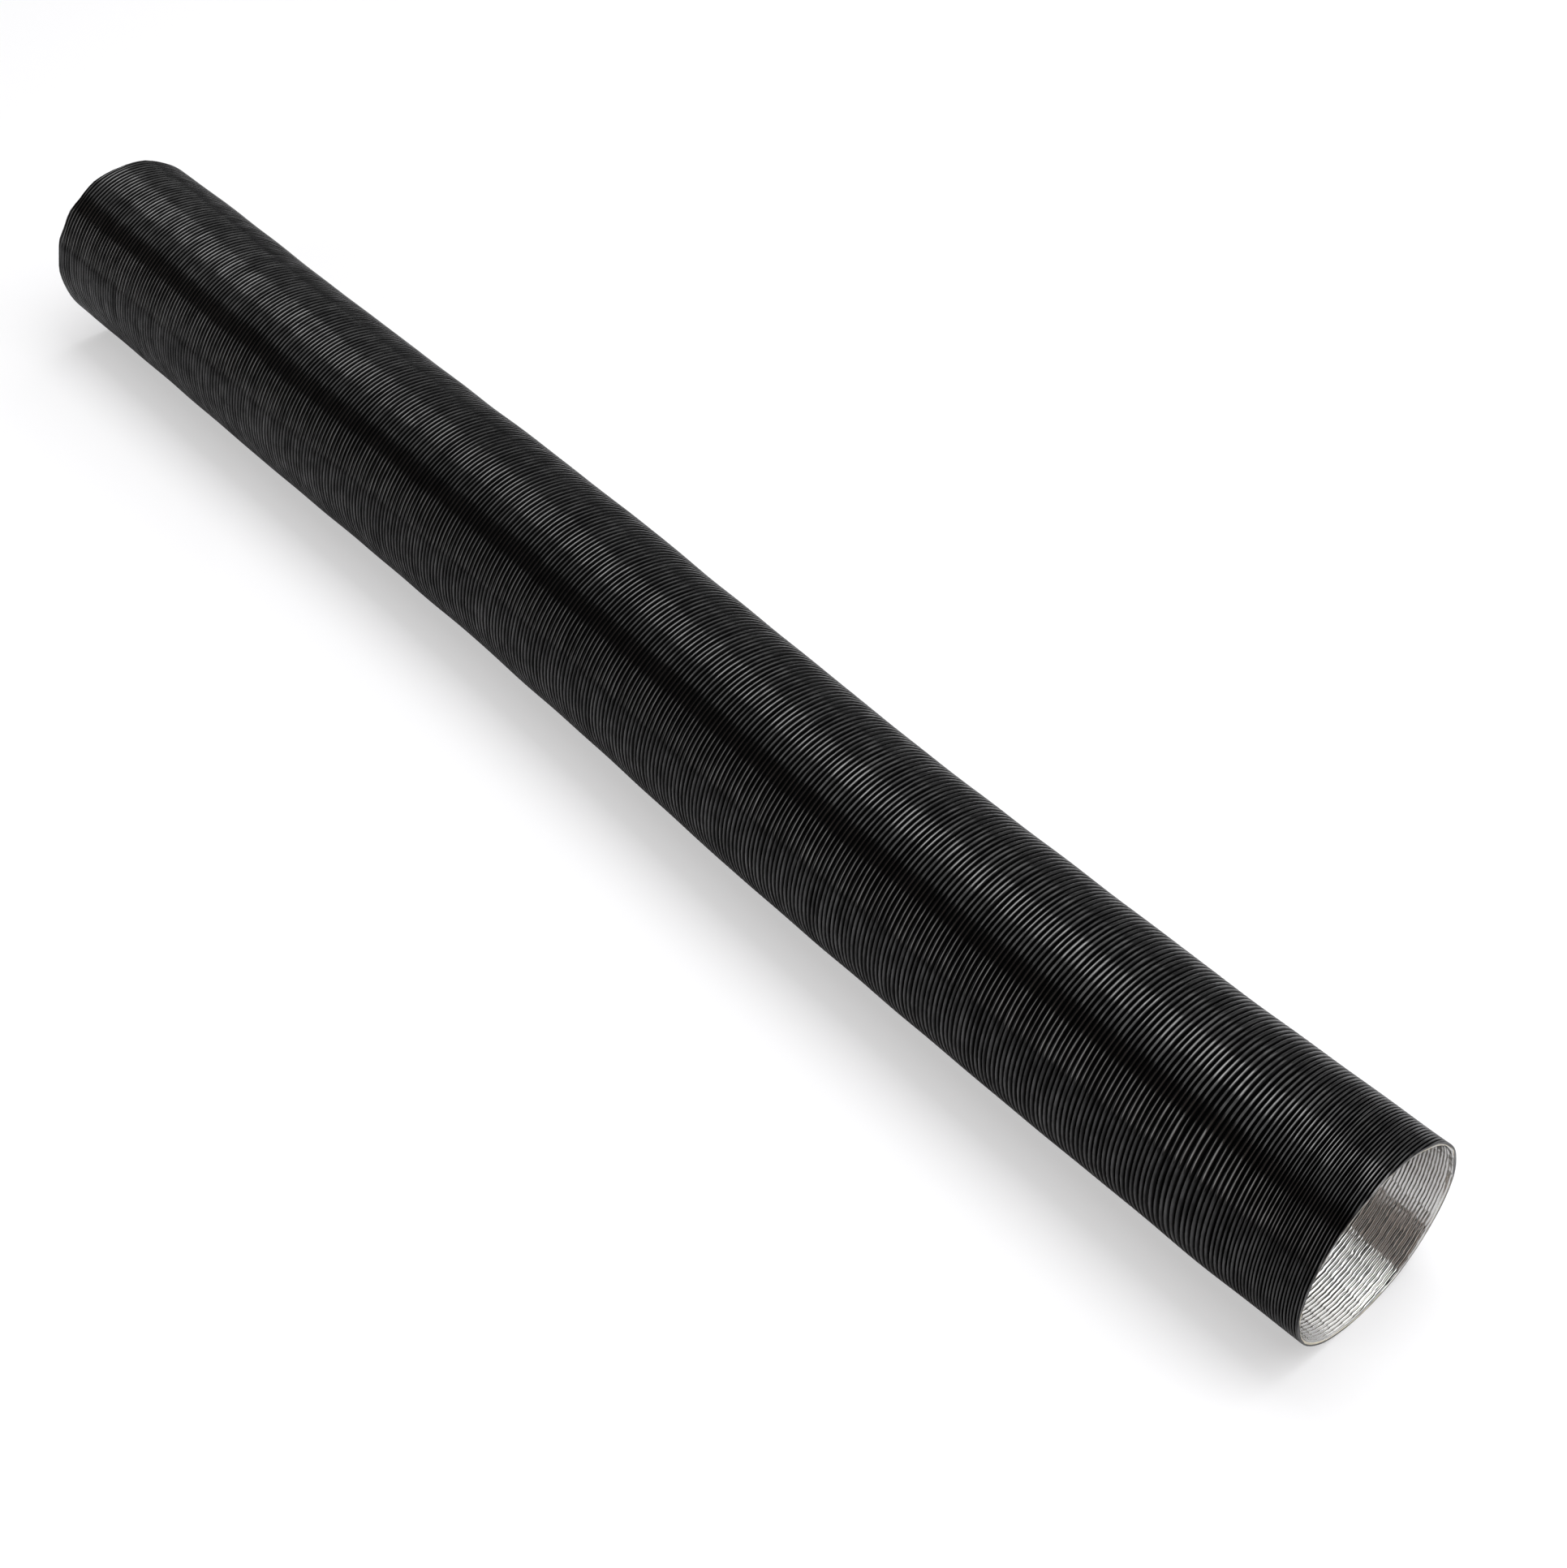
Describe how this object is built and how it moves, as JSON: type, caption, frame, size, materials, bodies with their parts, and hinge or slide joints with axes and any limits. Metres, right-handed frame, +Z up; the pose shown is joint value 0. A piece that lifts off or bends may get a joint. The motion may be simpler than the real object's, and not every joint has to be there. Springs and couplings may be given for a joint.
{
  "type": "flexible air duct",
  "caption": "Corrugated flexible air duct with a black outer film, a paper core and an aluminium foil liner, open at each end to take a round spigot and a hose band.",
  "frame": {"origin": "middle of the duct's length and width, on the surface that it lies on", "axes": "+X along the duct from its far end towards its mouth, +Y across it, +Z up"},
  "size_m": [0.5, 0.0528, 0.0523],
  "materials": {
    "black_film": "semi-gloss black plastic film drawn over fine ribs",
    "kraft_paper": "cream kraft paper, seen only as a cut edge",
    "bare_foil": "bare crinkled aluminium foil, bright along the inner crests"
  },
  "bodies": {
    "root": {"outer_film": "black_film", "paper_core": "kraft_paper", "foil_liner": "bare_foil"}
  },
  "joints": []
}
